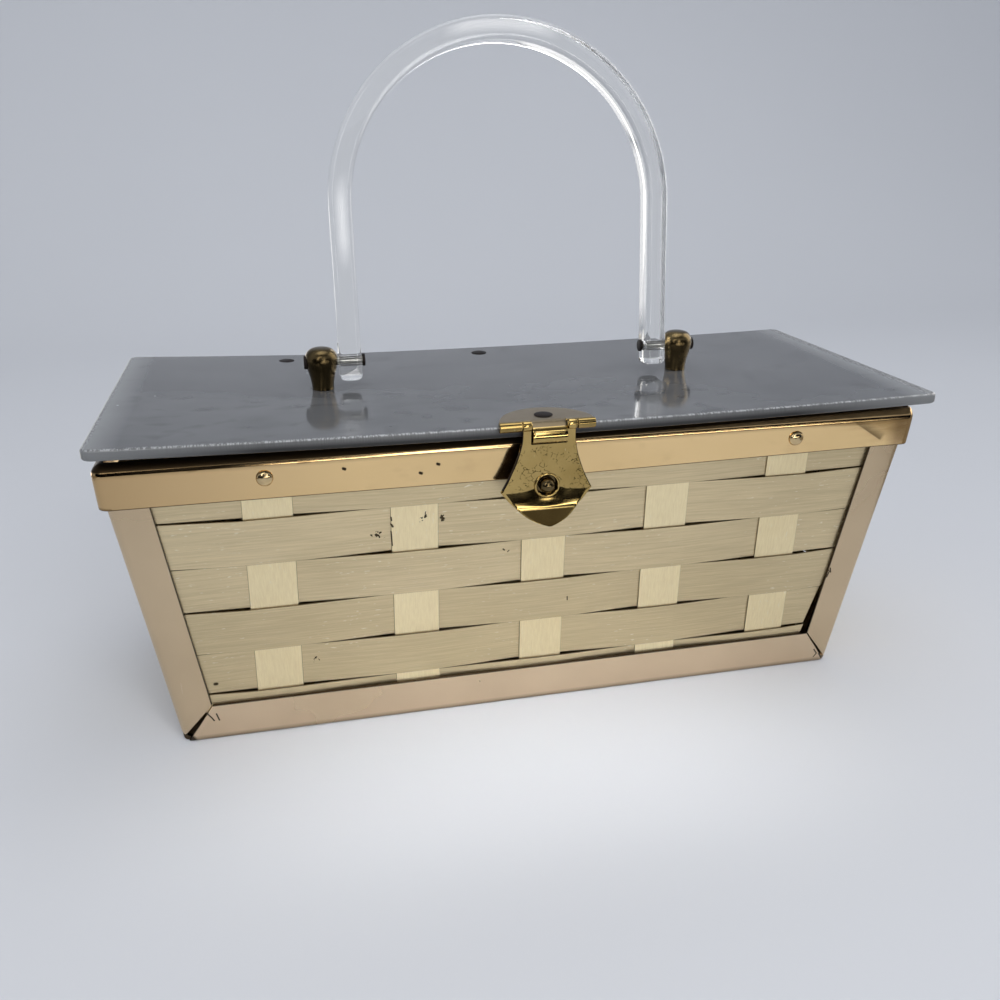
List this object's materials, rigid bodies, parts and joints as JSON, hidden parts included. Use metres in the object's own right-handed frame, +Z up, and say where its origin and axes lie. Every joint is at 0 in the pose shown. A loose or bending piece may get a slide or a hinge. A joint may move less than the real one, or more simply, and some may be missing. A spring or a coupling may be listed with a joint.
{
  "type": "metal basket purse",
  "caption": "Box purse with flared walls woven from flat gold strips, a rolled rim, a hinged grey acrylic lid with hasp, and a clear swinging bow handle.",
  "frame": {"origin": "centre of the tray's flat underside, on the surface that the purse stands on", "axes": "+X along the purse to the right, -Y out of the front with the hasp, +Z up"},
  "size_m": [0.2426, 0.104, 0.2042],
  "materials": {
    "frame_gold": "satin",
    "rim_gold": "polished",
    "row_gold": "brushed",
    "stake_gold": "brushed",
    "brass": "polished",
    "old_brass": "tarnished",
    "grey_acrylic": "polished",
    "clear_acrylic": "polished"
  },
  "bodies": {
    "basket": {"base_tray": "frame_gold", "post_front_left": "frame_gold", "post_front_right": "frame_gold", "post_back_left": "frame_gold", "post_back_right": "frame_gold", "front_row_1": "row_gold", "front_row_2": "row_gold", "front_row_3": "row_gold", "front_row_4": "row_gold", "front_row_5": "row_gold", "front_row_6": "row_gold", "front_stake_1": "stake_gold", "front_stake_2": "stake_gold", "front_stake_3": "stake_gold", "front_stake_4": "stake_gold", "front_stake_5": "stake_gold", "right_row_1": "row_gold", "right_row_2": "row_gold", "right_row_3": "row_gold", "right_row_4": "row_gold", "right_row_5": "row_gold", "right_row_6": "row_gold", "right_stake_1": "stake_gold", "back_row_1": "row_gold", "back_row_2": "row_gold", "back_row_3": "row_gold", "back_row_4": "row_gold", "back_row_5": "row_gold", "back_row_6": "row_gold", "back_stake_1": "stake_gold", "back_stake_2": "stake_gold", "back_stake_3": "stake_gold", "back_stake_4": "stake_gold", "back_stake_5": "stake_gold", "left_row_1": "row_gold", "left_row_2": "row_gold", "left_row_3": "row_gold", "left_row_4": "row_gold", "left_row_5": "row_gold", "left_row_6": "row_gold", "left_stake_1": "stake_gold", "rim_band": "rim_gold", "rim_rivet_left": "rim_gold", "rim_rivet_right": "rim_gold", "snap_post": "brass", "hinge_lower_leaf": "brass"},
    "lid": {"lid": "grey_acrylic", "lid_rivet_left": "old_brass", "lid_rivet_middle": "old_brass", "lid_rivet_right": "old_brass", "hinge_upper_leaf": "brass", "knob_left": "old_brass", "knob_right": "old_brass", "clasp_plate": "brass", "clasp_rivet": "old_brass"},
    "handle": {"handle": "clear_acrylic"},
    "hasp": {"hasp": "brass", "snap_cap": "old_brass"}
  },
  "joints": [
    {"name": "lid_hinge", "type": "hinge", "parent": "basket", "child": "lid", "pos_m": [0, 0.0478, 0.0929], "axis": [-1, 0, 0], "range_deg": [0, 100]},
    {"name": "handle_pivot", "type": "hinge", "parent": "lid", "child": "handle", "pos_m": [0, 0.0012, 0.10663], "axis": [1, 0, 0], "range_deg": [-85, 98]},
    {"name": "clasp_hinge", "type": "hinge", "parent": "lid", "child": "hasp", "pos_m": [0, -0.0519, 0.0984], "axis": [-1, 0, 0], "range_deg": [0, 120]}
  ]
}
